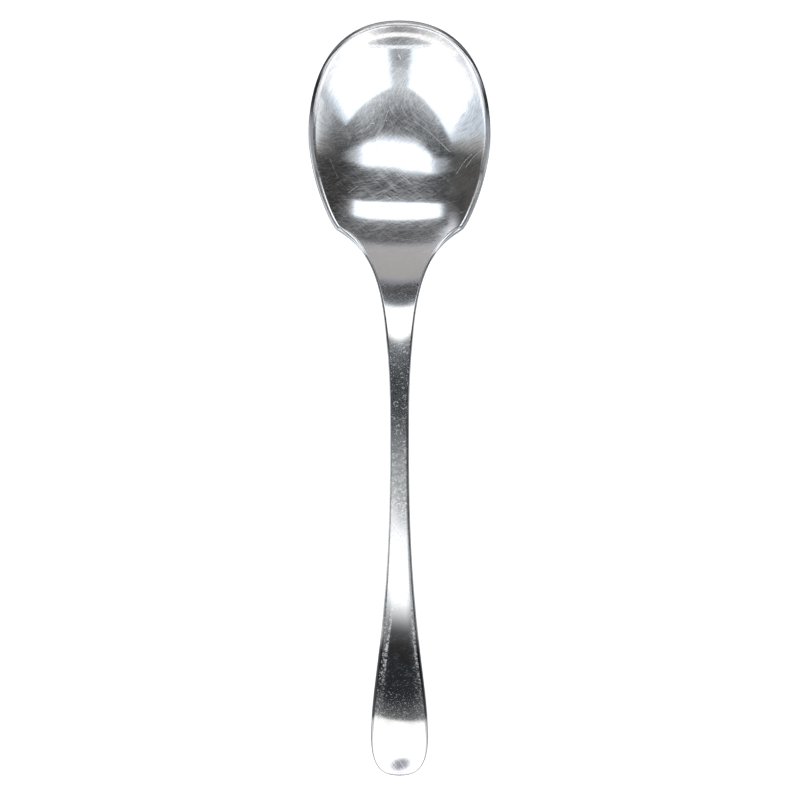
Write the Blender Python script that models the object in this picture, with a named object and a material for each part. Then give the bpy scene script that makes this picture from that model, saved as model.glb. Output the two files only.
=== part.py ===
"""Dessert spoon, pressed from one blank of stainless steel, in metres.

The spoon lies on the table the way it rests: +Z is up, the bowl's tip points
to +Y, and the table is Z = 0. The origin is under the middle of its length.
"""
import math

import bmesh
import bpy
import numpy as np
from mathutils import Vector
from mathutils.geometry import interpolate_bezier

# Plan: the outline seen from above. A station is a distance behind the bowl's tip.
OVERALL_LENGTH = 0.180
BOWL_WIDTH = 0.0433
BOWL_WIDEST_STATION = 0.0266
BOWL_TIP_FULLNESS = 0.755
BOWL_SIDE_FULLNESS = 0.475
BOWL_BACK_RUN = 0.0083
SHOULDER_WIDTH = 0.0306
SHOULDER_STATION = 0.0488
SHOULDER_IN_ANGLE = math.radians(33)
SHOULDER_IN_RUN = 0.0040
SHOULDER_OUT_ANGLE = math.radians(57)
SHOULDER_ROUND = 0.0009
FLARE_RUN = 0.0050
NECK_WIDTH = 0.0069
NECK_WIDTH_STATION = 0.0725
NECK_ANGLE = math.radians(5.5)
NECK_RUN_SHARE = 0.41
FLARE_END_RUN = 0.0170
WAIST_WIDTH = 0.00468
WAIST_STATION = 0.1019
GRIP_RUN_SHARE = 0.617
END_WIDTH = 0.01372
END_LENGTH = 0.0095
END_SIDE_RUN_SHARE = 0.215
END_FULLNESS = 0.90
END_TIP_FULLNESS = 0.48
END_CALM_SHARE = 2.5

# Side profile of the upper face. A rise is a height above the inside of the bowl.
HEEL_STATION = 0.0381
HEEL_RADIUS = 0.062
TIP_RISE = 0.0145
TIP_SLOPE = math.radians(45)
TIP_RADIUS = 0.022
NECK_STATION = 0.0574
NECK_RISE = 0.00277
NECK_SLOPE = math.radians(13)
STEM_STATION = 0.0730
STEM_RISE = 0.00560
STEM_SLOPE = math.radians(6.6)
STEM_RADIUS = 0.32
CREST_STATION = 0.1212
CREST_RISE = 0.0085
CREST_RADIUS = 0.36
END_SLOPE = math.radians(15.5)
END_RADIUS = 0.21

# Dish of the bowl and crown of the handle. The dish's depth is how far the face at full half-width
# stands above its middle.
DISH_DEPTH = 0.0083
DISH_WALL_SHARE = 0.20
DISH_HEEL_EASE = 0.45
DISH_TIP_STATION = 0.0320
DISH_TIP_RADIUS = 0.125
DISH_FADE_STATION = 0.0610
DISH_FADE_RUN = 0.0370
HANDLE_CROWN_RADIUS = 0.060

# Sections: thickness, the rim's flat land and the rounded edges.
TIP_THICKNESS = 0.0012
BOWL_THICKNESS = 0.0015
NECK_THICKNESS = 0.0026
WAIST_THICKNESS = 0.0032
GRIP_THICKNESS = 0.0026
END_THICKNESS = 0.0020
RIM_LAND = 0.0012
NECK_EDGE = 0.00055
GRIP_EDGE = 0.00095
END_EDGE = 0.00050
GRIP_LENGTH = 0.028
RIM_DROP_SHARE = 0.30
GRIP_DROP_SHARE = 0.50
EDGE_SQUARENESS = 2.6
UNDERCUT = 0.00030
WEAR_DEPTH = 0.00010

# Fineness of the mesh.
OUTLINE_STEPS = 90
COLUMNS = 14
BOWL_ROWS = 22
FLARE_ROWS = 13
HANDLE_ROWS = 34
EDGE_STEPS = 3

STEEL_COLOUR = (0.62, 0.62, 0.60, 1.0)
STEEL_ROUGHNESS = 0.18
SHARP_ANGLE = math.radians(35)

TIP_Y = OVERALL_LENGTH / 2


def clear_scene():
    for obj in list(bpy.data.objects):
        bpy.data.objects.remove(obj, do_unlink=True)


def at(station):
    return TIP_Y - station


def eased(y, knots):
    """Smooth run through (station, value) knots, level at each of them."""
    ys = np.array([at(station) for station, _ in knots])[::-1]
    values = np.array([value for _, value in knots])[::-1]
    i = np.clip(np.searchsorted(ys, y) - 1, 0, len(ys) - 2)
    t = np.clip((y - ys[i]) / (ys[i + 1] - ys[i]), 0.0, 1.0)
    return values[i] + (values[i + 1] - values[i]) * t * t * (3 - 2 * t)


def thickness(y):
    return eased(y, [
        (0.0, TIP_THICKNESS),
        (HEEL_STATION, BOWL_THICKNESS),
        (NECK_STATION, NECK_THICKNESS),
        (WAIST_STATION, WAIST_THICKNESS),
        (OVERALL_LENGTH - GRIP_LENGTH, GRIP_THICKNESS),
        (OVERALL_LENGTH, END_THICKNESS),
    ])


def edge_width(y):
    """Plan width from the upper face's border out to the outline."""
    return eased(y, [
        (0.0, RIM_LAND),
        (SHOULDER_STATION, RIM_LAND),
        (NECK_STATION, NECK_EDGE),
        (WAIST_STATION, NECK_EDGE),
        (OVERALL_LENGTH - GRIP_LENGTH, GRIP_EDGE),
        (OVERALL_LENGTH, END_EDGE),
    ])


def edge_drop(y):
    """Height from the upper face's border down to the widest line of the edge."""
    share = eased(y, [
        (0.0, RIM_DROP_SHARE),
        (SHOULDER_STATION, RIM_DROP_SHARE),
        (STEM_STATION, GRIP_DROP_SHARE),
        (OVERALL_LENGTH, GRIP_DROP_SHARE),
    ])
    return share * thickness(y)


def profile_knots():
    """(Y, height, slope, bend) of the upper face along the middle, tip last."""
    inside = BOWL_THICKNESS - WEAR_DEPTH
    end_height = END_THICKNESS * math.cos(END_SLOPE) - WEAR_DEPTH
    return [
        (at(OVERALL_LENGTH) + END_EDGE, end_height, math.tan(END_SLOPE), -1 / END_RADIUS),
        (at(CREST_STATION), inside + CREST_RISE, 0.0, -1 / CREST_RADIUS),
        (at(STEM_STATION), inside + STEM_RISE, -math.tan(STEM_SLOPE), -1 / STEM_RADIUS),
        (at(NECK_STATION), inside + NECK_RISE, -math.tan(NECK_SLOPE), 0.0),
        (at(HEEL_STATION), inside, 0.0, 1 / HEEL_RADIUS),
        (at(RIM_LAND), inside + TIP_RISE, math.tan(TIP_SLOPE), 1 / TIP_RADIUS),
    ]


def middle_height(y):
    """Upper face along the middle: fifth-order runs, smooth in bend at every knot."""
    knots = np.array(profile_knots())
    y = np.minimum(y, knots[-1, 0])
    i = np.clip(np.searchsorted(knots[:, 0], y) - 1, 0, len(knots) - 2)
    y0, z0, s0, b0 = knots[i].T
    y1, z1, s1, b1 = knots[i + 1].T
    run = y1 - y0
    t = (y - y0) / run
    rise = z1 - z0 - s0 * run - b0 * run ** 2 / 2
    turn = (s1 - s0) * run - b0 * run ** 2
    bend = (b1 - b0) * run ** 2
    c3 = 10 * rise - 4 * turn + bend / 2
    c4 = -15 * rise + 7 * turn - bend
    c5 = 6 * rise - 3 * turn + bend / 2
    return z0 + s0 * run * t + b0 * run ** 2 / 2 * t ** 2 + c3 * t ** 3 + c4 * t ** 4 + c5 * t ** 5


def dish_rise(y):
    """Height of the dish at full half-width: more towards the tip, dying out past the neck."""
    inside = BOWL_THICKNESS - WEAR_DEPTH
    heel_climb = np.where(y < at(HEEL_STATION), middle_height(y) - inside, 0.0)
    tip_run = np.maximum(y - at(DISH_TIP_STATION), 0.0)
    even = DISH_DEPTH - DISH_HEEL_EASE * heel_climb + tip_run ** 2 / (2 * DISH_TIP_RADIUS)
    return even * eased(y, [
        (0.0, 1.0),
        (DISH_FADE_STATION, 1.0),
        (DISH_FADE_STATION + DISH_FADE_RUN, 0.0),
        (OVERALL_LENGTH, 0.0),
    ])


def crown(y):
    """Bend of the face across the handle, as half of one over its radius."""
    bend = 1 / (2 * HANDLE_CROWN_RADIUS)
    return eased(y, [
        (0.0, 0.0),
        (NECK_STATION, 0.0),
        (WAIST_STATION, bend),
        (OVERALL_LENGTH, bend),
    ])


def face_height(x, y):
    """Upper face: dished in the bowl, a little crowned along the handle."""
    share = (x / (BOWL_WIDTH / 2 - RIM_LAND)) ** 2
    dish = (1 - DISH_WALL_SHARE) * share + DISH_WALL_SHARE * share ** 2
    return middle_height(y) + dish_rise(y) * dish - crown(y) * x ** 2


def towards(point, angle, distance):
    """A point further down the outline, angle being off the handle's line."""
    return (point[0] - distance * math.sin(angle), point[1] - distance * math.cos(angle))


def outline_legs():
    """Bezier legs of the right-hand outline, from the bowl's tip to the end."""
    side = BOWL_WIDTH / 2
    tip = (0.0, TIP_Y)
    widest = (side, at(BOWL_WIDEST_STATION))
    shoulder = (SHOULDER_WIDTH / 2, at(SHOULDER_STATION))
    before = towards(shoulder, SHOULDER_IN_ANGLE, -SHOULDER_ROUND)
    after = towards(shoulder, SHOULDER_OUT_ANGLE, SHOULDER_ROUND)
    neck = (NECK_WIDTH / 2, at(NECK_WIDTH_STATION))
    waist = (WAIST_WIDTH / 2, at(WAIST_STATION))
    end_side = (END_WIDTH / 2, -TIP_Y + END_LENGTH)
    end = (0.0, -TIP_Y)
    neck_run = NECK_RUN_SHARE * (neck[1] - waist[1])
    grip = waist[1] - end_side[1]
    return [
        (tip, (side * BOWL_TIP_FULLNESS, tip[1]),
         (side, widest[1] + BOWL_SIDE_FULLNESS * BOWL_WIDEST_STATION), widest),
        (widest, (side, widest[1] - BOWL_BACK_RUN),
         towards(before, SHOULDER_IN_ANGLE, -SHOULDER_IN_RUN), before),
        (before, shoulder, shoulder, after),
        (after, towards(after, SHOULDER_OUT_ANGLE, FLARE_RUN),
         towards(neck, NECK_ANGLE, -FLARE_END_RUN), neck),
        (neck, towards(neck, NECK_ANGLE, neck_run), (waist[0], waist[1] + neck_run), waist),
        (waist, (waist[0], waist[1] - GRIP_RUN_SHARE * grip),
         (end_side[0], end_side[1] + END_SIDE_RUN_SHARE * grip), end_side),
        (end_side, (end_side[0], end_side[1] - END_FULLNESS * END_LENGTH),
         (end_side[0] * END_TIP_FULLNESS, end[1]), end),
    ]


class Plan:
    """The spoon seen from above: its right-hand outline and the rows across it."""

    def __init__(self):
        points = []
        starts = []
        for leg in outline_legs():
            starts.append(len(points))
            corners = [Vector((x, y, 0.0)) for x, y in leg]
            points += interpolate_bezier(*corners, OUTLINE_STEPS)[:-1]
        points.append(Vector((0.0, -TIP_Y, 0.0)))
        self.line = np.array([point.to_2d() for point in points])
        out = self.outward()
        self.inner = self.line - out * edge_width(self.line[:, 1])[:, None]
        steps = np.linalg.norm(np.diff(self.line, axis=0), axis=1)
        self.travel = np.concatenate(([0.0], np.cumsum(steps)))
        self.first = int(np.argmax(out[:, 0] > out[:, 1]))
        self.last = len(out) - 1 - int(np.argmax(out[::-1, 0] > -out[::-1, 1]))
        shoulder, neck = self.travel[starts[2]], self.travel[starts[4]]
        self.rows = np.concatenate((
            np.linspace(self.travel[self.first], shoulder, BOWL_ROWS, endpoint=False),
            np.linspace(shoulder, neck, FLARE_ROWS, endpoint=False),
            np.linspace(neck, self.travel[self.last], HANDLE_ROWS),
        ))
        self.side = self.along(self.inner, self.rows)

    def outward(self):
        """Unit directions square to the outline, pointing out of the spoon."""
        ahead = np.gradient(self.line, axis=0)
        ahead /= np.linalg.norm(ahead, axis=1)[:, None]
        out = np.column_stack((-ahead[:, 1], ahead[:, 0]))
        out[0] = (0.0, 1.0)
        out[-1] = (0.0, -1.0)
        return out

    def along(self, curve, travel):
        """Points of a curve at given distances along the outline."""
        return np.column_stack([np.interp(travel, self.travel, curve[:, k]) for k in (0, 1)])

    def tip_travel(self, u):
        return np.interp(u * self.side[0, 0], self.inner[:self.first + 1, 0], self.travel[:self.first + 1])

    def end_travel(self, u):
        arc = slice(len(self.inner) - 1, self.last - 1, -1)
        return np.interp(u * self.side[-1, 0], self.inner[arc, 0], self.travel[arc])

    def place(self, u, row):
        """Plan place of a grid point of the upper face: rows bow out at both ends."""
        x, y = self.side[row]
        calm_tip = at(BOWL_WIDEST_STATION)
        calm_end = END_CALM_SHARE * END_LENGTH - TIP_Y
        near_tip = max(0.0, (y - calm_tip) / (self.side[0, 1] - calm_tip)) ** 2
        near_end = max(0.0, (calm_end - y) / (calm_end - self.side[-1, 1])) ** 2
        tip_bow = self.along(self.inner, self.tip_travel(abs(u)))[0, 1] - self.side[0, 1]
        end_bow = self.along(self.inner, self.end_travel(abs(u)))[0, 1] - self.side[-1, 1]
        return u * x, y + near_tip * tip_bow + near_end * end_bow

    def facing(self, u, row):
        """Outline point that faces a border point of the upper face."""
        travel = self.rows[row]
        if abs(u) < 1.0:
            travel = self.tip_travel(abs(u)) if row == 0 else self.end_travel(abs(u))
        x, y = self.along(self.line, travel)[0]
        return math.copysign(x, u), y

    def half_width(self, y):
        return np.interp(y, self.line[::-1, 1], self.line[::-1, 0])


def shape_upper_face(bm, plan):
    """Grid laid over the plan and raised to the dished upper face."""
    row_count = len(plan.rows) - 1
    bmesh.ops.create_grid(bm, x_segments=COLUMNS, y_segments=row_count, size=1.0)
    rows = [[] for _ in plan.rows]
    facing = {}
    for vert in bm.verts:
        u = vert.co.x
        row = round((1.0 - vert.co.y) / 2 * row_count)
        rows[row].append(vert)
        x, y = plan.place(u, row)
        if vert.is_boundary:
            facing[vert] = plan.facing(u, row)
        vert.co = (x, y, float(face_height(x, y)))
    bm.normal_update()
    return rows, facing


def add_underside(bm, plan, rows):
    """Second face, the local thickness below the upper one; returns the pairs."""
    copy = bmesh.ops.duplicate(bm, geom=bm.verts[:] + bm.edges[:] + bm.faces[:])
    pairs = copy["vert_map"]
    for row in rows:
        for vert in row:
            pairs[vert].co = vert.co - vert.normal * float(thickness(vert.co.y))
        border = max((pairs[vert].co for vert in row), key=lambda co: co.x)
        squeeze = min(1.0, (plan.half_width(border.y) - UNDERCUT) / border.x)
        for vert in row:
            pairs[vert].co.x *= squeeze
    faces = [item for item in copy["geom"] if isinstance(item, bmesh.types.BMFace)]
    bmesh.ops.reverse_faces(bm, faces=faces)
    return pairs


def edge_point(border, below, outline, turn):
    """Point of the rounded edge; turn runs from 0 above through 1 to 2 below."""
    x, y = outline
    widest = border.z - float(edge_drop(y))
    power = 2 / EDGE_SQUARENESS
    angle = turn * math.pi / 2
    reach = abs(math.sin(angle)) ** power
    depth = abs(math.cos(angle)) ** power
    start = border if turn <= 1.0 else below
    place = Vector((start.x, start.y, 0.0)).lerp(Vector((x, y, 0.0)), reach)
    place.z = widest + (start.z - widest) * depth
    return place


def round_edge(bm, facing, pairs):
    """Rings drawn out from the upper face's border, round the edge to the underside."""
    edges = [edge for edge in bm.edges if edge.is_boundary and edge.verts[0] in facing]
    ring = {vert: vert for vert in facing}
    for step in range(1, 2 * EDGE_STEPS + 1):
        drawn = bmesh.ops.extrude_edge_only(bm, edges=edges)["geom"]
        edges = [item for item in drawn if isinstance(item, bmesh.types.BMEdge)]
        fresh = {}
        for vert in (item for item in drawn if isinstance(item, bmesh.types.BMVert)):
            source = next(edge.other_vert(vert) for edge in vert.link_edges if edge.other_vert(vert) in ring)
            fresh[vert] = ring[source]
        for vert, border in fresh.items():
            vert.co = edge_point(border.co, pairs[border].co, facing[border], step / EDGE_STEPS)
        ring = fresh
    bmesh.ops.weld_verts(bm, targetmap={vert: pairs[border] for vert, border in ring.items()})


def wear_flat(bm):
    """The heel of the bowl and the end of the handle are worn level with the table."""
    everything = bm.verts[:] + bm.edges[:] + bm.faces[:]
    bmesh.ops.bisect_plane(bm, geom=everything, plane_co=(0, 0, 0), plane_no=(0, 0, 1), clear_inner=True)
    bmesh.ops.holes_fill(bm, edges=[edge for edge in bm.edges if edge.is_boundary])


def steel():
    material = bpy.data.materials.new("stainless_steel")
    material.use_nodes = True
    shader = material.node_tree.nodes["Principled BSDF"]
    shader.inputs["Base Color"].default_value = STEEL_COLOUR
    shader.inputs["Metallic"].default_value = 1.0
    shader.inputs["Roughness"].default_value = STEEL_ROUGHNESS
    return material


def build_spoon(collection):
    bm = bmesh.new()
    plan = Plan()
    rows, facing = shape_upper_face(bm, plan)
    pairs = add_underside(bm, plan, rows)
    round_edge(bm, facing, pairs)
    wear_flat(bm)
    bmesh.ops.recalc_face_normals(bm, faces=bm.faces)
    mesh = bpy.data.meshes.new("spoon")
    bm.to_mesh(mesh)
    bm.free()
    mesh.materials.append(steel())
    mesh.shade_smooth()
    mesh.set_sharp_from_angle(angle=SHARP_ANGLE)
    spoon = bpy.data.objects.new("spoon", mesh)
    collection.objects.link(spoon)
    return spoon


clear_scene()
dessert_spoon = bpy.data.collections.new("dessert_spoon")
bpy.context.scene.collection.children.link(dessert_spoon)
build_spoon(dessert_spoon)
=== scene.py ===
import math

import bmesh
import bpy
import numpy as np
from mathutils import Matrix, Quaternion, Vector
from mathutils.geometry import interpolate_bezier


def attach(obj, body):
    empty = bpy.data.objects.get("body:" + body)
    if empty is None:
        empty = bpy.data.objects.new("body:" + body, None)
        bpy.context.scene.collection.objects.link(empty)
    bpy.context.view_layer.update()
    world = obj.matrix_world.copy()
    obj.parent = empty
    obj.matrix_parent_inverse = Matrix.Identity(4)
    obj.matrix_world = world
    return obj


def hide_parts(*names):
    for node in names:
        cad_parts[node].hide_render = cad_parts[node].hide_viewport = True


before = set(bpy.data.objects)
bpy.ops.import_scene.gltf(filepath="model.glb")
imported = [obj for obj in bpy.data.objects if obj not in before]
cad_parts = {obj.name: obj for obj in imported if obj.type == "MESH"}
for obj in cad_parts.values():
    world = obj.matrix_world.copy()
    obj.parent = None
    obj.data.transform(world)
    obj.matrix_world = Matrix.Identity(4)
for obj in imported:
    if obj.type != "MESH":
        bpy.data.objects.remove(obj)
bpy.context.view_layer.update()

# The spoon: one blank of stainless steel, rolled thick at the stem and thin at the tip, cut to its
# outline and pressed to a dished bowl and a bowed handle. The edges are tumbled round, the face polished.
# Years of washing and stacking have left fine arcs in the bowl and nicks along the handle.
mm = 0.001
edge_legs = (
    ((0.0, 90.0), (16.346, 90.0), (21.649, 76.035), (21.649, 63.4)),
    ((21.649, 63.4), (21.649, 55.1), (17.969, 45.309), (15.79, 41.955)),
    ((15.79, 41.955), (15.3, 41.2), (15.3, 41.2), (14.545, 40.71)),
    ((14.545, 40.71), (10.352, 37.987), (5.079, 34.422), (3.45, 17.5)),
    ((3.45, 17.5), (2.295, 5.501), (2.34, 0.154), (2.34, -11.9)),
    ((2.34, -11.9), (2.34, -54.226), (6.86, -65.751), (6.86, -80.5)),
    ((6.86, -80.5), (6.86, -89.05), (3.293, -90.0), (0.0, -90.0)),
)
tip_y, widest_y, heel_y, shoulder_y, neck_y, stem_y, waist_y = 90.0, 63.4, 51.9, 41.2, 32.6, 17.0, -11.9
crest_y, grip_y, end_calm_y, end_y = -31.2, -62.0, -66.25, -90.0
heel_height = 1.4
face_profile = np.array((
    (-89.5, 1.827, 0.27732, -0.0047619),
    (crest_y, 9.9, 0.0, -0.0027778),
    (stem_y, 7.0, -0.1157, -0.003125),
    (neck_y, 4.17, -0.23087, 0.0),
    (heel_y, heel_height, 0.0, 0.0161290),
    (88.8, 15.899, 1.0, 0.0454545),
))
dish_depth, dish_half_width, dish_full_y, dish_end_y = 8.3, 20.45, 29.0, -8.0
heel_loss, tip_gain, tip_gain_y = 0.45, 0.004, 58.0
handle_crown = 1 / 120
edge_power = 2.6
back_inset = 0.3
lay_span = 0.2


def eased(y, *knots):
    """A value along the spoon: a smooth run through (Y, value) knots, level at each of them."""
    ys, values = np.array(sorted(knots)).T
    i = np.clip(np.searchsorted(ys, y) - 1, 0, len(ys) - 2)
    t = np.clip((y - ys[i]) / (ys[i + 1] - ys[i]), 0.0, 1.0)
    return values[i] + (values[i + 1] - values[i]) * t * t * (3 - 2 * t)


def thickness(y):
    return eased(y, (tip_y, 1.2), (heel_y, 1.5), (neck_y, 2.6), (waist_y, 3.2), (grip_y, 2.6), (end_y, 2.0))


def edge_width(y):
    return eased(y, (tip_y, 1.2), (shoulder_y, 1.2), (neck_y, 0.55), (waist_y, 0.55), (grip_y, 0.95),
                 (end_y, 0.5))


def edge_drop(y):
    return thickness(y) * eased(y, (tip_y, 0.3), (shoulder_y, 0.3), (stem_y, 0.5), (end_y, 0.5))


def middle_height(y):
    """The face along the spoon's middle line: fifth-order runs, smooth in bend at each knot."""
    y = np.minimum(y, face_profile[-1, 0])
    i = np.clip(np.searchsorted(face_profile[:, 0], y) - 1, 0, len(face_profile) - 2)
    y0, z0, s0, b0 = face_profile[i].T
    y1, z1, s1, b1 = face_profile[i + 1].T
    run = y1 - y0
    t = (y - y0) / run
    rise = z1 - z0 - s0 * run - b0 * run ** 2 / 2
    turn = (s1 - s0) * run - b0 * run ** 2
    bend = (b1 - b0) * run ** 2
    cubic = 10 * rise - 4 * turn + bend / 2
    quartic = -15 * rise + 7 * turn - bend
    quintic = 6 * rise - 3 * turn + bend / 2
    return z0 + s0 * run * t + b0 * run ** 2 / 2 * t ** 2 + cubic * t ** 3 + quartic * t ** 4 + quintic * t ** 5


def dish_rise(y):
    """How far the dish stands up at the bowl's full half-width: more to the tip, dying out at the neck."""
    heel_climb = np.where(y < heel_y, middle_height(y) - heel_height, 0.0)
    even = dish_depth - heel_loss * heel_climb + tip_gain * np.maximum(y - tip_gain_y, 0.0) ** 2
    return even * eased(y, (tip_y, 1.0), (dish_full_y, 1.0), (dish_end_y, 0.0), (end_y, 0.0))


def crown(y):
    return eased(y, (tip_y, 0.0), (neck_y, 0.0), (waist_y, handle_crown), (end_y, handle_crown))


def face_height(x, y):
    """The pressed face: dished in the bowl, a little crowned along the handle."""
    share = (x / dish_half_width) ** 2
    return middle_height(y) + dish_rise(y) * (0.8 * share + 0.2 * share ** 2) - crown(y) * x ** 2


leg_steps = 400
shoulder_at, stem_at = 2 * (leg_steps - 1), 4 * (leg_steps - 1)
edge_line = []
for leg in edge_legs:
    edge_line += interpolate_bezier(*(Vector((x, y, 0.0)) for x, y in leg), leg_steps)[:-1]
edge_line = np.array([(point.x, point.y) for point in edge_line] + [(0.0, end_y)])
ahead = np.gradient(edge_line, axis=0)
ahead /= np.linalg.norm(ahead, axis=1)[:, None]
outward = np.column_stack((-ahead[:, 1], ahead[:, 0]))
outward[0], outward[-1] = (0.0, 1.0), (0.0, -1.0)
face_line = edge_line - outward * edge_width(edge_line[:, 1])[:, None]
travel = np.concatenate(([0.0], np.cumsum(np.linalg.norm(np.diff(edge_line, axis=0), axis=1))))
tip_corner = int(np.argmax(outward[:, 0] > outward[:, 1]))
end_corner = len(outward) - 1 - int(np.argmax(outward[::-1, 0] > -outward[::-1, 1]))

columns, bowl_rows, flare_rows, handle_rows, edge_steps = 64, 130, 76, 190, 8
row_travel = np.concatenate((
    np.linspace(travel[tip_corner], travel[shoulder_at], bowl_rows, endpoint=False),
    np.linspace(travel[shoulder_at], travel[stem_at], flare_rows, endpoint=False),
    np.linspace(travel[stem_at], travel[end_corner], handle_rows),
))


def along(line, distance):
    """Points of a line at given distances round the outline."""
    return np.column_stack([np.interp(distance, travel, line[:, k]) for k in (0, 1)])


# "across" is 0 on the middle line, 1 where the face meets the edge and 1.8 at the outline, and 0 on the back.
row_side = along(face_line, row_travel)
bm = bmesh.new()
inward = bm.verts.layers.float.new("across")
bmesh.ops.create_grid(bm, x_segments=columns, y_segments=len(row_travel) - 1, size=1.0)
bm.verts.index_update()
face_verts = list(bm.verts)
u = np.array([vert.co.x for vert in face_verts])
row = np.array([round((1.0 - vert.co.y) / 2 * (len(row_travel) - 1)) for vert in face_verts])
tip_arc, end_arc = slice(0, tip_corner + 1), slice(len(face_line) - 1, end_corner - 1, -1)
tip_travel = np.interp(abs(u) * row_side[0, 0], face_line[tip_arc, 0], travel[tip_arc])
end_travel = np.interp(abs(u) * row_side[-1, 0], face_line[end_arc, 0], travel[end_arc])
near_tip = np.clip((row_side[:, 1] - widest_y) / (row_side[0, 1] - widest_y), 0.0, None) ** 2
near_end = np.clip((end_calm_y - row_side[:, 1]) / (end_calm_y - row_side[-1, 1]), 0.0, None) ** 2
x = u * row_side[row, 0]
y = (row_side[row, 1] + near_tip[row] * (along(face_line, tip_travel)[:, 1] - row_side[0, 1])
     + near_end[row] * (along(face_line, end_travel)[:, 1] - row_side[-1, 1]))
half = np.interp(y, face_line[::-1, 1], face_line[::-1, 0])
across = np.minimum(np.abs(x) / np.maximum(half, 1e-6), 1.0)
face = np.column_stack((x, y, face_height(x, y)))
for vert, point in zip(face_verts, face):
    vert.co = point
    vert[inward] = across[vert.index]
bm.normal_update()

copied = bmesh.ops.duplicate(bm, geom=bm.verts[:] + bm.edges[:] + bm.faces[:])
back_verts = [copied["vert_map"][vert] for vert in face_verts]
back = face - np.array([vert.normal for vert in face_verts]) * thickness(y)[:, None]
side = np.flatnonzero(u > 1.0 - 1e-6)
room_inside = np.interp(back[side, 1], edge_line[::-1, 1], edge_line[::-1, 0]) - back_inset
squeeze = np.ones(len(row_travel))
squeeze[row[side]] = np.minimum(1.0, room_inside / back[side, 0])
back[:, 0] *= squeeze[row]
for vert, point in zip(back_verts, back):
    vert.co = point
    vert[inward] = 0.0
bmesh.ops.reverse_faces(bm, faces=[item for item in copied["geom"] if isinstance(item, bmesh.types.BMFace)])

bm.verts.index_update()
border = [i for i, vert in enumerate(face_verts) if vert.is_boundary]
rim_edges = [edge for edge in bm.edges if edge.is_boundary and edge.verts[0].index < len(face_verts)]
end_or_tip_travel = np.where(row == 0, tip_travel, end_travel)
border_travel = np.where(abs(u) > 1.0 - 1e-6, row_travel[row], end_or_tip_travel)[border]
rim_place = along(edge_line, border_travel)
rim_place[:, 0] = np.copysign(rim_place[:, 0], u[border])
rim_widest = face[border, 2] - edge_drop(rim_place[:, 1])
ring = {face_verts[i]: k for k, i in enumerate(border)}
for step in range(1, 2 * edge_steps + 1):
    angle = step / edge_steps * math.pi / 2
    reach, depth = abs(math.sin(angle)) ** (2 / edge_power), abs(math.cos(angle)) ** (2 / edge_power)
    start = (face if step <= edge_steps else back)[border]
    ring_place = np.column_stack((start[:, :2] + (rim_place - start[:, :2]) * reach,
                                  rim_widest + (start[:, 2] - rim_widest) * depth))
    drawn = bmesh.ops.extrude_edge_only(bm, edges=rim_edges)["geom"]
    rim_edges = [item for item in drawn if isinstance(item, bmesh.types.BMEdge)]
    next_ring = {}
    for vert in (item for item in drawn if isinstance(item, bmesh.types.BMVert)):
        neighbours = (edge.other_vert(vert) for edge in vert.link_edges)
        next_ring[vert] = next(ring[other] for other in neighbours if other in ring)
    for vert, k in next_ring.items():
        vert.co = ring_place[k]
        vert[inward] = 1.0 + 0.1 * step
    ring = next_ring
bmesh.ops.weld_verts(bm, targetmap={vert: back_verts[border[k]] for vert, k in ring.items()})
bmesh.ops.bisect_plane(bm, geom=bm.verts[:] + bm.edges[:] + bm.faces[:], plane_co=(0, 0, 0), plane_no=(0, 0, 1),
                       clear_inner=True)
bmesh.ops.holes_fill(bm, edges=[edge for edge in bm.edges if edge.is_boundary])
bmesh.ops.scale(bm, vec=(mm, mm, mm), verts=bm.verts[:])
bmesh.ops.recalc_face_normals(bm, faces=bm.faces[:])
spoon_mesh = bpy.data.meshes.new("pressed_spoon")
bm.to_mesh(spoon_mesh)
bm.free()
spoon_mesh.shade_smooth()
spoon = bpy.data.objects.new("pressed_spoon", spoon_mesh)
bpy.context.scene.collection.objects.link(spoon)

lay = spoon_mesh.uv_layers.new(name="lay")
corner = np.empty(len(spoon_mesh.loops), dtype=np.int32)
spoon_mesh.loops.foreach_get("vertex_index", corner)
points = np.empty(3 * len(spoon_mesh.vertices), dtype=np.float32)
spoon_mesh.vertices.foreach_get("co", points)
points = points.reshape(-1, 3)[corner]
lay.uv.foreach_set("vector", (points[:, :2] / lay_span + 0.5).ravel())


def add(tree, kind, inputs=(), **settings):
    """A shader node with its settings, and its inputs set or wired."""
    node = tree.nodes.new("ShaderNode" + kind)
    for name, value in settings.items():
        setattr(node, name, value)
    for name, value in dict(inputs).items():
        if isinstance(value, bpy.types.NodeSocket):
            tree.links.new(value, node.inputs[name])
        else:
            node.inputs[name].default_value = value
    return node


def math_node(tree, operation, *values, clamp=False):
    return add(tree, "Math", dict(enumerate(values)), operation=operation, use_clamp=clamp).outputs[0]


def vector_node(tree, operation, first, second):
    return add(tree, "VectorMath", {0: first, 1: second}, operation=operation).outputs


def ramp(tree, value, low, high, to_low=0.0, to_high=1.0, way="SMOOTHSTEP"):
    """A step, smooth or LINEAR, from to_low at low to to_high at high."""
    inputs = {"Value": value, "From Min": low, "From Max": high, "To Min": to_low, "To Max": to_high}
    return add(tree, "MapRange", inputs, interpolation_type=way).outputs["Result"]


def blend(tree, share, first, second, kind="FLOAT", **settings):
    """The first value where share is 0, the second where it is 1."""
    inputs = {"Factor": share, "A": first, "B": second}
    return add(tree, "Mix", inputs, data_type=kind, **settings).outputs["Result"]


def node_group(name, output, **inputs):
    """A node group with its sockets; gives the group and the sockets of its inputs."""
    group = bpy.data.node_groups.new(name, "ShaderNodeTree")
    for socket, kind in inputs.items():
        group.interface.new_socket(socket, in_out="INPUT", socket_type="NodeSocket" + kind)
    group.interface.new_socket(output, in_out="OUTPUT", socket_type="NodeSocketFloat")
    return group, group.nodes.new("NodeGroupInput").outputs


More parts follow.
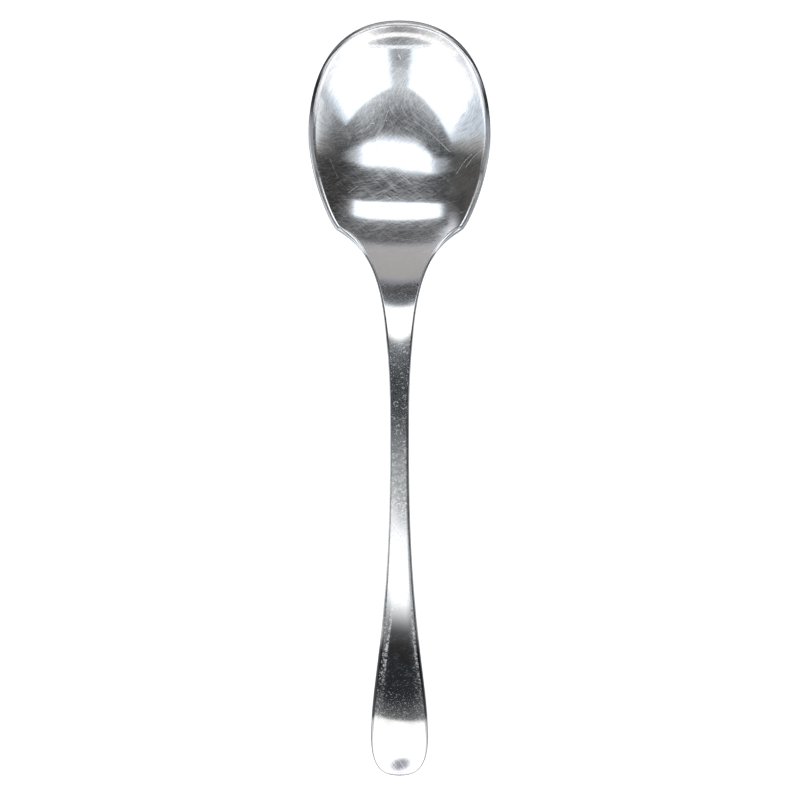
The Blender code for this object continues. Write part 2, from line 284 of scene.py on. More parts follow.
scratch_lay, given = node_group("scratch_lay", "Lines", Place="Vector", Across="Float", Pitch="Float",
                                Length="Float", Bare="Float", Soft="Float")
axes = add(scratch_lay, "SeparateXYZ", {0: given["Place"]})
drawn_out = add(scratch_lay, "CombineXYZ", {
    0: math_node(scratch_lay, "DIVIDE", given["Across"], given["Pitch"]),
    1: math_node(scratch_lay, "DIVIDE", axes.outputs[0], given["Length"]),
    2: math_node(scratch_lay, "DIVIDE", axes.outputs[1], given["Length"]),
})
streaks = add(scratch_lay, "TexNoise", {"Vector": drawn_out.outputs[0], "Scale": 1.0, "Detail": 1.0})
lines = ramp(scratch_lay, streaks.outputs["Fac"], given["Bare"],
             math_node(scratch_lay, "ADD", given["Bare"], given["Soft"]))
scratch_lay.links.new(lines, scratch_lay.nodes.new("NodeGroupOutput").inputs["Lines"])

long_scratch, given = node_group("long_scratch", "Line", Place="Vector", From="Vector", To="Vector",
                                 Width="Float")
run = vector_node(long_scratch, "SUBTRACT", given["To"], given["From"])[0]
off = vector_node(long_scratch, "SUBTRACT", given["Place"], given["From"])[0]
reached = math_node(long_scratch, "DIVIDE", vector_node(long_scratch, "DOT_PRODUCT", off, run)["Value"],
                    vector_node(long_scratch, "DOT_PRODUCT", run, run)["Value"], clamp=True)
foot = add(long_scratch, "VectorMath", {0: run, "Scale": reached}, operation="SCALE").outputs[0]
gap = vector_node(long_scratch, "DISTANCE", off, foot)["Value"]
line = ramp(long_scratch, gap, given["Width"], math_node(long_scratch, "MULTIPLY", given["Width"], 0.3))
long_scratch.links.new(line, long_scratch.nodes.new("NodeGroupOutput").inputs["Line"])

# The steel: worn, with painted reflections and shade held in its colour.
steel = bpy.data.materials.new("worn_steel_and_painted_reflections")
steel.use_nodes = True
steel_tree = steel.node_tree
shader = steel_tree.nodes["Principled BSDF"]
in_metres = add(steel_tree, "TexCoord").outputs["Object"]
steel_place = add(steel_tree, "VectorMath", {0: in_metres, "Scale": 1 / mm}, operation="SCALE").outputs[0]
axes = add(steel_tree, "SeparateXYZ", {0: steel_place})
side_x, along_y = axes.outputs[0], axes.outputs[1]
off_middle = math_node(steel_tree, "ABSOLUTE", side_x)
across_face = add(steel_tree, "Attribute", attribute_name="across").outputs["Fac"]
flat_place = add(steel_tree, "CombineXYZ", {0: side_x, 1: along_y}).outputs[0]
sway = add(steel_tree, "TexNoise", {"Vector": flat_place, "Scale": 0.06, "Detail": 0.0}, noise_dimensions="2D")


def bent(by):
    """Places on the spoon pushed about by some mm, so that the lines drawn on them bend."""
    inputs = {0: sway.outputs["Color"], 1: (by, by, 0.0), 2: flat_place}
    return add(steel_tree, "VectorMath", inputs, operation="MULTIPLY_ADD").outputs[0]


swayed, nearly_straight = bent(5.0), bent(1.2)


def joined(operation, values):
    total = values[0]
    for value in values[1:]:
        total = math_node(steel_tree, operation, total, value)
    return total


def times(*values):
    return joined("MULTIPLY", values)


def plus(*values):
    return joined("ADD", values)


def larger(*values):
    return joined("MAXIMUM", values)


def without(share):
    return math_node(steel_tree, "SUBTRACT", 1.0, share)


def rise(value, low, high, to_low=0.0, to_high=1.0):
    return ramp(steel_tree, value, low, high, to_low, to_high)


def span(value, start, full, hold, end):
    """1 from full to hold, dying out smoothly at start and at end."""
    return times(rise(value, start, full), rise(value, end, hold))


def scratches(beside, pitch, length, bare, soft=0.12):
    """Fine lines, pitch mm apart and about length mm long; beside is the distance that counts them off.

    bare is the share of the steel left between them, and soft how gently they begin.
    """
    node = steel_tree.nodes.new("ShaderNodeGroup")
    node.node_tree = scratch_lay
    steel_tree.links.new(flat_place, node.inputs["Place"])
    steel_tree.links.new(beside, node.inputs["Across"])
    for name, value in (("Pitch", pitch), ("Length", length), ("Bare", bare), ("Soft", soft)):
        node.inputs[name].default_value = value
    return node.outputs["Lines"]


def scratched(start, end, width):
    """One scratch from start to end."""
    node = steel_tree.nodes.new("ShaderNodeGroup")
    node.node_tree = long_scratch
    steel_tree.links.new(swayed, node.inputs["Place"])
    for name, value in (("From", (*start, 0.0)), ("To", (*end, 0.0)), ("Width", width)):
        node.inputs[name].default_value = value
    return node.outputs["Line"]


def crossing(turn, place=swayed):
    """How far a place lies to the side of lines that run at turn degrees from the spoon's length."""
    facing = (math.cos(math.radians(turn)), -math.sin(math.radians(turn)), 0.0)
    return vector_node(steel_tree, "DOT_PRODUCT", place, facing)["Value"]


def far_from(middle):
    """Distance of a place from a middle on each side of the spoon."""
    swayed_axes = add(steel_tree, "SeparateXYZ", {0: swayed}).outputs
    folded_x = math_node(steel_tree, "ABSOLUTE", swayed_axes[0])
    folded = add(steel_tree, "CombineXYZ", {0: folded_x, 1: swayed_axes[1]}).outputs[0]
    return vector_node(steel_tree, "DISTANCE", folded, middle)["Value"]


def specks(scale, bare, full, detail=2.0):
    """Patches of wear: none where the noise is under bare, whole where it is over full."""
    inputs = {"Vector": steel_place, "Scale": scale, "Detail": detail, "Roughness": 0.6}
    return rise(add(steel_tree, "TexNoise", inputs).outputs["Fac"], bare, full)


# Wear in the bowl, by places in mm: arcs round two middles, strokes in front, a cross-hatch at the heel.
bowl = rise(along_y, 29.0, 46.0)
heel = times(rise(along_y, 64.0, 56.0), bowl)
wide_radius, near_radius = far_from((12.0, 75.0, 0.0)), far_from((1.0, 64.0, 0.0))
arcs = plus(times(scratches(wide_radius, 0.3, 2.8, 0.49, 0.14), rise(wide_radius, 3.0, 7.0), 0.7),
            times(scratches(near_radius, 0.3, 2.6, 0.51, 0.14), rise(near_radius, 3.0, 7.0), 0.4))
strokes = plus(*(scratches(crossing(turn, nearly_straight), 0.28, 3.5, 0.52) for turn in (30, -22, 52)))
hatch = plus(*(scratches(crossing(turn, nearly_straight), 0.28, 8.0, 0.52) for turn in (54, -50, 72)))
bowl_lines = times(plus(arcs, times(strokes, without(heel), 0.4), times(hatch, plus(0.08, times(heel, 0.5)))),
                   rise(across_face, 1.3, 1.1))
bowl_wear = times(plus(0.47, times(bowl_lines, 0.68)), plus(0.92, times(specks(0.5, 0.35, 0.65), 0.16)))
# Dark arcs among the scratches: scratch wear, darkened in colour as painted shade.
side_shades = times(scratches(plus(wide_radius, 40.0), 0.3, 2.8, 0.49, 0.14), rise(off_middle, 12.5, 15.5),
                    rise(along_y, 77.0, 70.0))
middle_shades = times(scratches(crossing(41), 0.3, 2.4, 0.5, 0.14), rise(off_middle, 12.0, 8.0),
                      rise(along_y, 71.0, 67.0))
shades = times(plus(side_shades, middle_shades), rise(along_y, 52.0, 59.0), rise(across_face, 1.05, 0.95))
clear_right = rise(side_x, 2.0, 11.0, 0.0, times(rise(along_y, 43.0, 49.0), 0.3))
hazy_side = times(rise(side_x, 5.0, 18.0, 1.0, 0.5), rise(side_x, -7.0, -20.0, 1.0, 0.5), without(clear_right))
hazy_front = times(rise(along_y, 56.0, 66.0, 0.71, 0.98), rise(along_y, 70.0, 81.0, 1.0, 0.42))
bowl_haze = times(hazy_side, hazy_front, bowl_wear)

# Wear along the handle: flecks and crescent nicks on the stem, rubbed ridges at the grip, lines at the end.
right_side = rise(side_x, -2.0, 2.0)
mostly_right = plus(0.4, times(right_side, 0.6))
nicks = times(specks(2.1, 0.53, 0.68, 3.0),
              plus(0.3, times(specks(0.3, 0.4, 0.6), 0.4), rise(along_y, -62.0, -74.0, 0.0, 0.7)))
hairlines = plus(*(scratches(crossing(turn), 0.26, length, 0.68)
                   for turn, length in ((20, 2.6), (80, 2.0), (-50, 2.2))))
end_lines = times(scratches(crossing(-38), 0.34, 3.0, 0.52), rise(along_y, -82.0, -84.5),
                  rise(off_middle, 4.2, 2.4))
ridge = times(span(across_face, 0.5, 0.92, 1.2, 1.6), rise(along_y, -38.0, -50.0, 0.15, 1.0),
              rise(along_y, -80.0, -62.0, 0.2, 1.0), rise(side_x, -2.0, 2.0, 1.0, 0.7))
rubbed = times(ridge, specks(2.2, 0.47, 0.64, 3.0))
ridge_middle = blend(steel_tree, right_side, rise(along_y, -48.0, -62.0, 0.62, 0.8), 0.97)
ridge_gap = math_node(steel_tree, "ABSOLUTE", math_node(steel_tree, "SUBTRACT", across_face, ridge_middle))
ridge_line = times(rise(ridge_gap, 0.13, 0.04), rise(along_y, -46.0, -50.0),
                   rise(along_y, -70.0, -58.0, 0.1, 1.0), specks(1.3, 0.4, 0.56, 4.0))
neck_wear = times(span(along_y, 17.0, 21.0, 28.5, 30.5), plus(0.04, times(hatch, 0.1)))
end_haze = times(rise(along_y, -68.0, -76.0, 0.0, 0.12), rise(along_y, -80.0, -78.0))
flank_haze = times(rise(across_face, 0.72, 0.95), span(along_y, -62.0, -55.0, -53.0, -47.0),
                   rise(side_x, -2.0, 2.0, 0.55, 0.3))
# A rubbed band on the left of the stem: rougher, and lighter in colour as a painted sheen.
left_rub_and_sheen = times(rise(side_x, 0.6, -1.6), span(along_y, -42.0, -34.0, -24.0, -6.0), rise(across_face, 1.2, 1.0))
stem_flecks = times(specks(2.4, 0.55, 0.68, 3.0), rise(across_face, 1.2, 1.0),
                    span(along_y, -52.0, -38.0, 6.0, 20.0))
worn_stem = times(span(along_y, -54.0, -40.0, -22.0, -2.0), rise(across_face, 1.3, 1.05),
                  plus(0.45, times(specks(1.2, 0.42, 0.6, 5.0), 0.6)))
dings = add(steel_tree, "TexVoronoi", {"Vector": flat_place, "Scale": 0.62}, voronoi_dimensions="2D").outputs
ding_kind = add(steel_tree, "SeparateColor", {0: dings["Color"]}).outputs[0]
crescents = times(span(dings["Distance"], 0.22, 0.32, 0.36, 0.46),
                  math_node(steel_tree, "GREATER_THAN", ding_kind, 0.35), specks(0.9, 0.5, 0.6),
                  rise(across_face, 1.05, 0.95), span(along_y, -36.0, -26.0, 10.0, 16.0))
grip_haze = times(rise(along_y, 2.0, -16.0, 0.15, 0.66), rise(along_y, -54.0, -38.0))
handle_haze = plus(grip_haze, times(worn_stem, 1.05), times(rubbed, 0.45), times(nicks, 0.42),
                   times(hairlines, 0.25), times(end_lines, 0.6), times(crescents, 0.6),
                   times(stem_flecks, 0.44), flank_haze, times(ridge_line, 0.8), neck_wear, end_haze)

# The edge: darkened in colour in places as a painted dark reflection of the room, with painted shade on the
# flanks of the handle, a painted black reflection near its end, and a bright line along the rim of the bowl
# that is partly a hazier coat and partly a painted highlight.
corner_rim = times(rise(off_middle, 7.0, 12.0), rise(along_y, 65.0, 72.0))
lower_bowl = span(along_y, 34.5, 37.5, 52.0, 57.0)
upper_edge = rise(across_face, 1.95, 1.75)
handle_edge = plus(times(rise(across_face, 1.15, 1.35), mostly_right, rise(along_y, -78.0, -75.0)),
                   times(rise(across_face, 0.8, 1.0), right_side, span(along_y, -60.0, -50.0, -8.0, 0.0)),
                   times(rise(across_face, 1.14, 1.28), rise(along_y, -75.0, -78.0)))
neck_edge = times(rise(across_face, 0.97, 1.07), rise(along_y, 10.0, 17.0))
# Painted dark reflection on the edge: more on the right of the handle, at the neck and round the bowl.
painted_dark_edge = plus(times(plus(handle_edge, neck_edge), rise(along_y, 36.5, 34.0)),
                 times(rise(across_face, 1.08, 1.2), corner_rim), times(rise(across_face, 1.4, 1.55), bowl),
                 times(rise(across_face, 1.24, 1.38), lower_bowl, mostly_right))
painted_dark_edge = times(math_node(steel_tree, "MINIMUM", painted_dark_edge, 1.0), upper_edge)
# Painted black reflection on the flanks near the end of the handle.
painted_black_flank = times(rise(across_face, 1.0, 1.1), span(along_y, -77.0, -75.0, -60.0, -54.0), upper_edge)
shaded_flank = times(rise(across_face, 0.45, 0.95), span(along_y, -56.0, -52.0, -49.0, -43.0))
# The bright rim lines low in the bowl and at its corners: a hazier coat, and a near-white colour that is partly
# burnish, partly a painted highlight.
low_rim = times(lower_bowl, span(across_face, 0.97, 1.04, 1.22, 1.34))
low_rim_haze = plus(0.45, times(right_side, rise(along_y, 46.5, 50.5, 0.0, 0.5)))
pale_corner = times(corner_rim, span(across_face, 0.955, 0.985, 1.08, 1.16))
rim = times(bowl, span(across_face, 0.985, 1.06, 1.5, 1.75), without(corner_rim), 0.78)
rim = larger(times(rim, without(low_rim)), plus(times(pale_corner, 0.95), times(low_rim, low_rim_haze)))

# Single scratches and pits in the bowl: from, to and width in mm.
single = 0.0
for start, end, width in (
        ((5.9, 69.4), (14.0, 62.4), 0.065), ((-9.1, 51.2), (-6.3, 53.0), 0.075),
        ((-0.6, 70.6), (0.6, 73.2), 0.08), ((18.6, 58.2), (22.0, 62.2), 0.08),
        ((16.2, 57.6), (19.6, 60.8), 0.07), ((-3.6, 70.6), (-2.8, 70.5), 0.14),
        ((-0.2, 70.6), (-0.1, 70.7), 0.17), ((-5.8, 58.1), (-5.7, 58.2), 0.14),
        ((14.7, 64.3), (14.9, 64.4), 0.13), ((2.2, 84.6), (2.6, 83.6), 0.065),
        ((4.4, 82.6), (4.9, 82.0), 0.065), ((-12.4, 59.8), (-11.2, 54.5), 0.045)):
    single = larger(single, scratched(start, end, width))

# The coat is the haze of the scratches over the polish, and the base is the polish itself.
haze = larger(blend(steel_tree, bowl, handle_haze, bowl_haze), rim, single)
# The coat is thinned where the edge is painted dark.
bright_edge = times(without(painted_black_flank), math_node(steel_tree, "MULTIPLY_ADD", painted_dark_edge, -0.7, 1.0))
steel_tree.links.new(times(haze, bright_edge), shader.inputs["Coat Weight"])
shader.inputs["Coat IOR"].default_value = 4.0
shader.inputs["Coat Roughness"].default_value = 0.36
handle_marks = plus(times(rubbed, 0.75), times(crescents, 0.7), times(stem_flecks, 0.75),
                    times(ridge_line, 0.7), neck_wear)
polish = blend(steel_tree, times(handle_marks, 0.9), rise(along_y, 22.0, 36.0, 0.075, 0.085), 0.42)
polish = blend(steel_tree, times(left_rub_and_sheen, 0.8), polish, 0.26)
rim_marks = larger(times(single, 0.85), plus(times(rim, 0.5), times(pale_corner, 0.4)))
polish = blend(steel_tree, rim_marks, polish, 0.5)
steel_tree.links.new(polish, shader.inputs["Roughness"])

# The base colour is cooler in the bowl, at the neck and along the stem: a painted cool reflection, kept warm at
# the sides and the tip.
low_side = times(rise(off_middle, 9.0, 15.0), rise(along_y, 66.0, 58.0), rise(along_y, 43.0, 48.0))
high_side = times(rise(off_middle, 3.5, 6.0), rise(along_y, 70.0, 75.0))
painted_cool_reflection = plus(times(rise(along_y, 36.0, 38.5), without(plus(low_side, high_side, rise(along_y, 84.5, 86.5)))),
            span(along_y, 22.0, 24.0, 28.5, 30.5), span(along_y, -24.0, -10.0, 11.0, 15.0))
warm_steel, cool_reflection_steel = (0.604, 0.596, 0.588, 1.0), (0.56, 0.60, 0.645, 1.0)
painted_dark_steel, painted_black_steel = (0.16, 0.165, 0.17, 1.0), (0.05, 0.05, 0.055, 1.0)
shaded_steel, scratched_steel = (0.28, 0.29, 0.31, 1.0), (0.95, 0.95, 0.95, 1.0)
burnish_and_highlight_steel, painted_sheen_steel = (0.96, 0.96, 0.96, 1.0), (0.9, 0.89, 0.88, 1.0)
colour = blend(steel_tree, painted_cool_reflection, warm_steel, cool_reflection_steel, "RGBA")
# Over it: painted dark reflections on the edges and black on the flanks near the handle's end, painted shade on
# the flanks, partly painted highlights on the rim and the grip's ridges, a painted sheen on the left of the
# stem, painted shade on scratch arcs, and lighter scratches and pits.
for share, tint in (
        (painted_dark_edge, painted_dark_steel),
        (larger(times(plus(low_rim, pale_corner), 0.9), times(ridge_line, 0.6)), burnish_and_highlight_steel),
        (times(left_rub_and_sheen, 0.7), painted_sheen_steel),
        (times(shaded_flank, 0.5), painted_dark_steel),
        (painted_black_flank, painted_black_steel),
        (times(bowl, bowl_lines, 0.34), scratched_steel),
        (times(shades, 0.34), shaded_steel),
        (single, scratched_steel)):
    colour = blend(steel_tree, share, colour, tint, "RGBA")
steel_tree.links.new(colour, shader.inputs["Base Color"])
shader.inputs["Metallic"].default_value = 1.0
shader.inputs["Anisotropic"].default_value = 0.9
brushed_way = add(steel_tree, "Tangent", direction_type="UV_MAP", uv_map="lay")
steel_tree.links.new(brushed_way.outputs[0], shader.inputs["Tangent"])
spoon_mesh.materials.append(steel)
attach(spoon, "root")
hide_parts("spoon")

# The floor: a wide sheet of matt white paper, laid flat under the spoon, which keeps a soft shadow of it.
# It glows a little to the camera and in reflections, so that it stays white in the picture.
floor_radius, paper_glow = 3.0, 0.56
bm = bmesh.new()
bmesh.ops.create_circle(bm, cap_ends=True, radius=floor_radius, segments=96)
floor_mesh = bpy.data.meshes.new("paper_floor")
bm.to_mesh(floor_mesh)
bm.free()
floor = bpy.data.objects.new("paper_floor", floor_mesh)
bpy.context.scene.collection.objects.link(floor)
paper = bpy.data.materials.new("white_paper")
paper.use_nodes = True
paper_tree = paper.node_tree
paper_tree.nodes.clear()
ray = add(paper_tree, "LightPath").outputs
seen = math_node(paper_tree, "MAXIMUM", ray["Is Camera Ray"], ray["Is Glossy Ray"])
seen = math_node(paper_tree, "MAXIMUM", seen, ray["Is Transmission Ray"])
matt = add(paper_tree, "BsdfDiffuse", {"Color": (0.9, 0.9, 0.9, 1.0)})
lifted = add(paper_tree, "Emission", {"Strength": math_node(paper_tree, "MULTIPLY", seen, paper_glow)})
both = add(paper_tree, "AddShader", {0: matt.outputs[0], 1: lifted.outputs[0]})
add(paper_tree, "OutputMaterial", {"Surface": both.outputs[0]})
floor_mesh.materials.append(paper)

# The light: a soft panel overhead and a strip beyond it, with the camera's dark place between them, a pale
# wall behind and two tall soft boxes standing in front. Bowed strips and a card low in front, a dark spot and
# three small lamps are what the neck and the handle mirror. Each panel is graded to soft edges.
bowl_middle = Vector((0.0, 0.06, 0.004))


def glowing_grid(name, columns, rows, spot, tint=(1.0, 1.0, 1.0), beam=None):
    """A panel of light, which shines all round, or only within beam degrees of square on.

    spot gives the place and the radiance at a column and a row.
    """
    bm = bmesh.new()
    level = bm.verts.layers.float.new("level")
    bmesh.ops.create_grid(bm, x_segments=len(columns) - 1, y_segments=len(rows) - 1, size=1.0)
    for vert in bm.verts:
        column = columns[round((vert.co.x + 1.0) / 2 * (len(columns) - 1))]
        row = rows[round((vert.co.y + 1.0) / 2 * (len(rows) - 1))]
        vert.co, vert[level] = spot(column, row)
    mesh = bpy.data.meshes.new(name)
    bm.to_mesh(mesh)
    bm.free()
    panel = bpy.data.objects.new(name, mesh)
    bpy.context.scene.collection.objects.link(panel)
    glow = bpy.data.materials.new(name)
    glow.use_nodes = True
    glow_tree = glow.node_tree
    glow_tree.nodes.clear()
    radiance = add(glow_tree, "Attribute", attribute_name="level").outputs["Fac"]
    lit = add(glow_tree, "Emission", {"Color": (*tint, 1.0), "Strength": radiance})
    if beam:
        ray = add(glow_tree, "NewGeometry").outputs
        square_on = vector_node(glow_tree, "DOT_PRODUCT", ray["Normal"], ray["Incoming"])["Value"]
        square_on = math_node(glow_tree, "ABSOLUTE", square_on)
        in_beam = math_node(glow_tree, "GREATER_THAN", square_on, math.cos(math.radians(beam)))
        clear = add(glow_tree, "BsdfTransparent")
        lit = add(glow_tree, "MixShader", {0: in_beam, 1: clear.outputs[0], 2: lit.outputs[0]})
    add(glow_tree, "OutputMaterial", {"Surface": lit.outputs[0]})
    mesh.materials.append(glow)
    panel.visible_camera = False


def overhead(name, height, columns, rows, tint):
    """A level panel; columns are (x, share of the light) and rows (y at each x, radiance).

    x and y are runs from the bowl's middle for each metre of height.
    """
    def spot(column, row):
        return bowl_middle + Vector((column[0], row[0](column[0]), 1.0)) * height, column[1] * row[1]

    glowing_grid(name, columns, rows, spot, tint)


def standing(name, turn, top, sides):
    """A panel standing on the floor some way off, turned degrees round the bowl.

    Each of its sides is (degrees round at its foot, the same at its top, radiance, share of it at the foot).
    """
    distance, foot_rise, lit_rise = 2.0, 0.07, 0.15
    facing = Vector((math.cos(math.radians(turn)), math.sin(math.radians(turn)), 0.0))
    beside = Vector((-facing.y, facing.x, 0.0))

    def spot(side, up):
        foot_turn, top_turn, radiance, foot_share = side
        off = math.tan(math.radians(foot_turn + (top_turn - foot_turn) * up / top))
        lit = float(np.interp(up, (foot_rise, lit_rise), (foot_share, 1.0)))
        return bowl_middle + distance * (facing + off * beside + Vector((0.0, 0.0, up))), radiance * lit

    glowing_grid(name, sides, (0.0, foot_rise, lit_rise, 0.5, top), spot, tint=(0.95, 1.0, 1.06))


def at(line, x):
    return float(np.interp(x, *np.array(line).T))


near_line = ((-1.3, -0.12), (-0.9, -0.13), (-0.69, -0.115), (-0.57, -0.135), (-0.524, -0.148),
             (-0.26, -0.23), (0.0, -0.2475), (0.25, -0.266), (0.5, -0.26), (0.63, -0.245), (0.76, -0.23),
             (0.9, -0.215), (1.6, -0.21))
far_line = ((-1.3, -0.03), (-0.9, -0.015), (-0.69, -0.006), (-0.52, -0.013), (-0.12, -0.023),
            (0.0, -0.036), (0.12, -0.05), (0.5, -0.058), (0.76, -0.075), (0.9, -0.09), (1.6, -0.11))
soft_edge = ((-0.55, 0.45), (-0.3, 1.0), (0.3, 1.0), (0.55, 0.6))
strip_line = ((-1.0, 0.23), (-0.78, 0.222), (-0.56, 0.211), (-0.3, 0.194), (0.0, 0.188), (0.35, 0.188),
              (0.68, 0.198), (1.2, 0.202))


def far_row(step):
    return lambda x: at(far_line, x) + max(step * at(soft_edge, x), 0.6 * (at(near_line, x) - at(far_line, x)))


def near_row(step):
    return lambda x: at(near_line, x) - step * at(soft_edge, x)


def strip_row(step):
    return lambda x: at(strip_line, x) - step


def level_row(y):
    return lambda x: y


overhead("near_panel", 3.7,
         [(-1.3, 0.03), (-1.04, 0.09), (-0.9, 0.19), (-0.775, 0.25), (-0.667, 0.38), (-0.572, 0.66)]
         + [(x, 1.0) for x in np.linspace(-0.5, 0.62, 24)]
         + [(0.7, 0.75), (0.73, 0.6), (0.834, 0.4), (0.967, 0.28), (1.123, 0.15), (1.31, 0.06), (1.6, 0.015)],
         [(far_row(0.09), 0.03), (far_row(0.04), 0.13), (far_row(0.01), 0.4), (far_row(-0.01), 0.95),
          (far_row(-0.035), 2.0), (near_row(-0.012), 2.0), (near_row(0.0), 1.6), (near_row(0.012), 1.3),
          (near_row(0.0365), 0.82), (near_row(0.0625), 0.36), (near_row(0.0875), 0.12), (near_row(0.13), 0.04),
          (near_row(0.17), 0.028)],
         tint=(0.972, 1.0, 1.034))
overhead("far_strip", 0.86,
         [(-1.0, 0.04), (-0.85, 0.2), (-0.76, 0.7)]
         + [(x, 1.0) for x in (-0.7, -0.5, -0.3, 0.0, 0.35, 0.68, 0.86)]
         + [(0.92, 0.45), (1.05, 0.15), (1.2, 0.03)],
         [(level_row(0.4), 0.04), (level_row(0.36), 0.12), (level_row(0.33), 0.35), (level_row(0.317), 2.0),
          (strip_row(0.0), 2.0), (strip_row(0.006), 0.5), (strip_row(0.016), 0.25), (strip_row(0.036), 0.13),
          (strip_row(0.07), 0.03)],
         tint=(0.975, 1.0, 1.025))


wall_height = 2.0


def wall_glow(x, row):
    """The wall: even from a step upward, with a bright corner on the left and a faint one on the right."""
    y, radiance = row
    lit_corner = 1.4 * math.exp(-((x + 1.08) / 0.33) ** 2 - ((y - 0.5) / 0.12) ** 2)
    other_corner = 0.09 * math.exp(-((x - 1.15) / 0.4) ** 2 - ((y - 0.36) / 0.15) ** 2)
    return bowl_middle + Vector((x, y, 1.0)) * wall_height, radiance + lit_corner + other_corner


wall_rows = [(y, 0.03) for y in (0.2, 0.26, 0.32, 0.38, 0.43)] + [(0.475, 0.05)]
wall_rows += [(y, 0.57) for y in (0.495, 0.54, 0.6, 0.7, 2.2)]
glowing_grid("pale_wall", np.linspace(-2.0, 2.0, 41), wall_rows, wall_glow, tint=(1.02, 0.99, 1.0))
standing("front_right", -70, 1.02, ((-13, -13, 0.63, 0.75), (-9, -9, 1.8, 0.75), (35, 43.5, 1.8, 0.75),
                                    (40, 45, 1.3, 0.8), (43, 46.5, 0.9, 0.9), (47, 48, 0.62, 1.0)))
standing("front_left", -124.3, 1.087, ((-46, -41, 0.85, 1.25), (-36, -39, 0.93, 1.2), (-31, -37.5, 1.1, 1.1),
                                       (-26, -35.5, 1.8, 0.75), (-19, -25, 1.8, 0.7), (-13, -13, 1.8, 0.56),
                                       (5, 5, 1.8, 0.56), (12, 12, 1.8, 0.8), (22.3, 22.3, 1.8, 0.8),
                                       (26, 26, 0.63, 0.8)))


def front_arc(name, low, high, reach, middle, sides, half):
    """A bowed strip 1 m in front, to reach degrees on each side.

    low and high are its edges in degrees up, in the middle and bow_turn degrees to each side. Its radiance goes
    from middle to sides (left, right), half degrees out.
    """
    bow_turn = 23

    def spot(turn, edge):
        up = math.radians(edge[0] + (edge[1] - edge[0]) * (turn / bow_turn) ** 2)
        way = Vector((math.sin(math.radians(turn)), -math.cos(math.radians(turn)), math.tan(up)))
        side = sides[1] if turn > 0 else sides[0]
        return bowl_middle + way, middle + (side - middle) * min(1.0, (turn / half) ** 2)

    glowing_grid(name, np.linspace(-reach, reach, 17), (low, high), spot)


front_arc("dark_card", (13.7, 11.6), (18.7, 13.2), 24, 0.28, (0.9, 0.9), 22)
front_arc("card_edge", (18.9, 13.4), (21.0, 15.6), 24, 1.3, (1.3, 1.3), 22)
front_arc("card_seam", (26.5, 24.6), (27.6, 25.7), 40, 0.1, (1.36, 1.45), 10)
front_arc("low_white", (11.2, 9.0), (13.6, 11.5), 44, 1.5, (1.6, 1.75), 36)
front_arc("low_grey", (7.9, 5.2), (11.1, 8.9), 44, 0.3, (1.05, 1.6), 24)
spot_middle, spot_half, spot_lean = Vector((0.0018, -0.2049, 0.1641)), (0.0215, 0.0048, 0.0035), 0.25


def spot_ring(turn, ring):
    way = Vector((spot_half[0] * math.cos(turn), spot_half[1] * math.sin(turn + spot_lean),
                  spot_half[2] * math.sin(turn + spot_lean)))
    return spot_middle + ring[0] * way, ring[1]


glowing_grid("dark_spot", np.linspace(0.0, 2 * math.pi, 25), ((0.0, 0.4), (0.5, 0.45), (0.75, 1.0), (1.0, 2.4)),
             spot_ring, tint=(0.94, 0.96, 1.1), beam=12)
handle_end = Vector((0.0, -0.0815, 0.003))
lamp_way, lamp_roll, lamp_distance = Vector((0.0, 0.1721, -0.2457)), math.radians(-2.3), 0.3
for turn in (-10.2, 0.0, 10.2):
    lamp = bpy.data.lights.new("end_strip", "AREA")
    lamp.shape = "RECTANGLE"
    lamp.size, lamp.size_y = 0.054, 0.061
    lamp.spread = math.radians(24)
    lamp.energy = 0.00043
    end_strip = bpy.data.objects.new("end_strip", lamp)
    facing_end = lamp_way.to_track_quat("-Z", "Y") @ Quaternion((0.0, 0.0, 1.0), lamp_roll)
    facing_end = facing_end @ Quaternion((0.0, 1.0, 0.0), math.radians(turn))
    end_strip.rotation_euler = facing_end.to_euler()
    end_strip.location = handle_end + facing_end @ Vector((0.0, 0.0, lamp_distance))
    end_strip.visible_camera = False
    bpy.context.scene.collection.objects.link(end_strip)

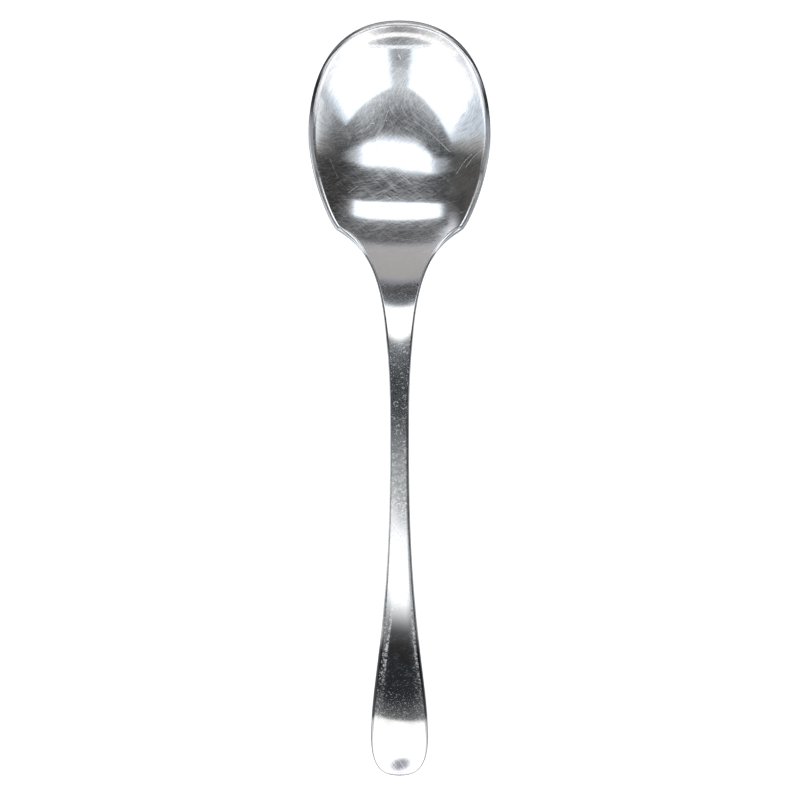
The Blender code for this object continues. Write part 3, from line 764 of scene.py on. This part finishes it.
# The room: dim, a little warmer on the left and right, with a glow low in front and along both sides.
# It is what the rim and the flanks of the handle mirror beside the panels.
world = bpy.data.worlds.new("dim_room")
world.use_nodes = True
room_tree = world.node_tree
aim = add(room_tree, "SeparateXYZ", {0: add(room_tree, "TexCoord").outputs["Generated"]}).outputs
aim_x, aim_y, aim_z = aim[0], aim[1], aim[2]
steepness = math_node(room_tree, "EXPONENT", math_node(room_tree, "MULTIPLY", aim_z, 7.0))
right_reach = math_node(room_tree, "MULTIPLY", steepness, 0.05)
right_run = math_node(room_tree, "SUBTRACT", -0.04, aim_y)
right = math_node(room_tree, "MULTIPLY", math_node(room_tree, "DIVIDE", right_run, right_reach, clamp=True),
                  ramp(room_tree, aim_z, 0.05, 0.15, 1.45, 0.65, way="LINEAR"))
left_run = math_node(room_tree, "MULTIPLY_ADD", aim_z, -0.19, math_node(room_tree, "SUBTRACT", 0.042, aim_y))
left = ramp(room_tree, left_run, 0.04, 0.31, 0.0, 1.4, way="LINEAR")
sides = blend(room_tree, ramp(room_tree, aim_x, -0.3, 0.3), left, right)
low_sides = math_node(room_tree, "MULTIPLY", sides, ramp(room_tree, aim_z, 0.78, 0.5))
middle = math_node(room_tree, "MULTIPLY", ramp(room_tree, aim_z, 0.45, 0.62, 0.42, 0.78),
                   ramp(room_tree, aim_z, 0.885, 0.70, way="LINEAR"))
middle = math_node(room_tree, "MULTIPLY", middle, ramp(room_tree, aim_y, -0.2, -0.45))
aside = ramp(room_tree, math_node(room_tree, "ABSOLUTE", aim_x), 0.4, 0.8)
glow = blend(room_tree, aside, middle, low_sides)
dark_front, dark_right = (0.025, 0.030, 0.035, 1.0), (0.033, 0.030, 0.028, 1.0)
dark_left = (0.085, 0.081, 0.077, 1.0)
dark = blend(room_tree, ramp(room_tree, aim_x, 0.5, 0.85), dark_front, dark_right, "RGBA")
dark = blend(room_tree, ramp(room_tree, aim_x, -0.5, -0.85), dark, dark_left, "RGBA")
room = blend(room_tree, glow, dark, (1.0, 1.0, 1.0, 1.0), "RGBA", clamp_factor=False)
room_tree.links.new(room, room_tree.nodes["Background"].inputs["Color"])
bpy.context.scene.world = world

# The camera: on a stand straight above the middle of the spoon, with a long lens and the bowl at the top
# of the picture. The picture's tones are left as they are.
camera = bpy.data.cameras.new("camera")
camera.lens = 149.5
camera_stand = bpy.data.objects.new("camera", camera)
camera_stand.location = (0.00012, 0.00036, 0.8)
bpy.context.scene.collection.objects.link(camera_stand)
bpy.context.scene.camera = camera_stand
bpy.context.scene.view_settings.view_transform = "Standard"
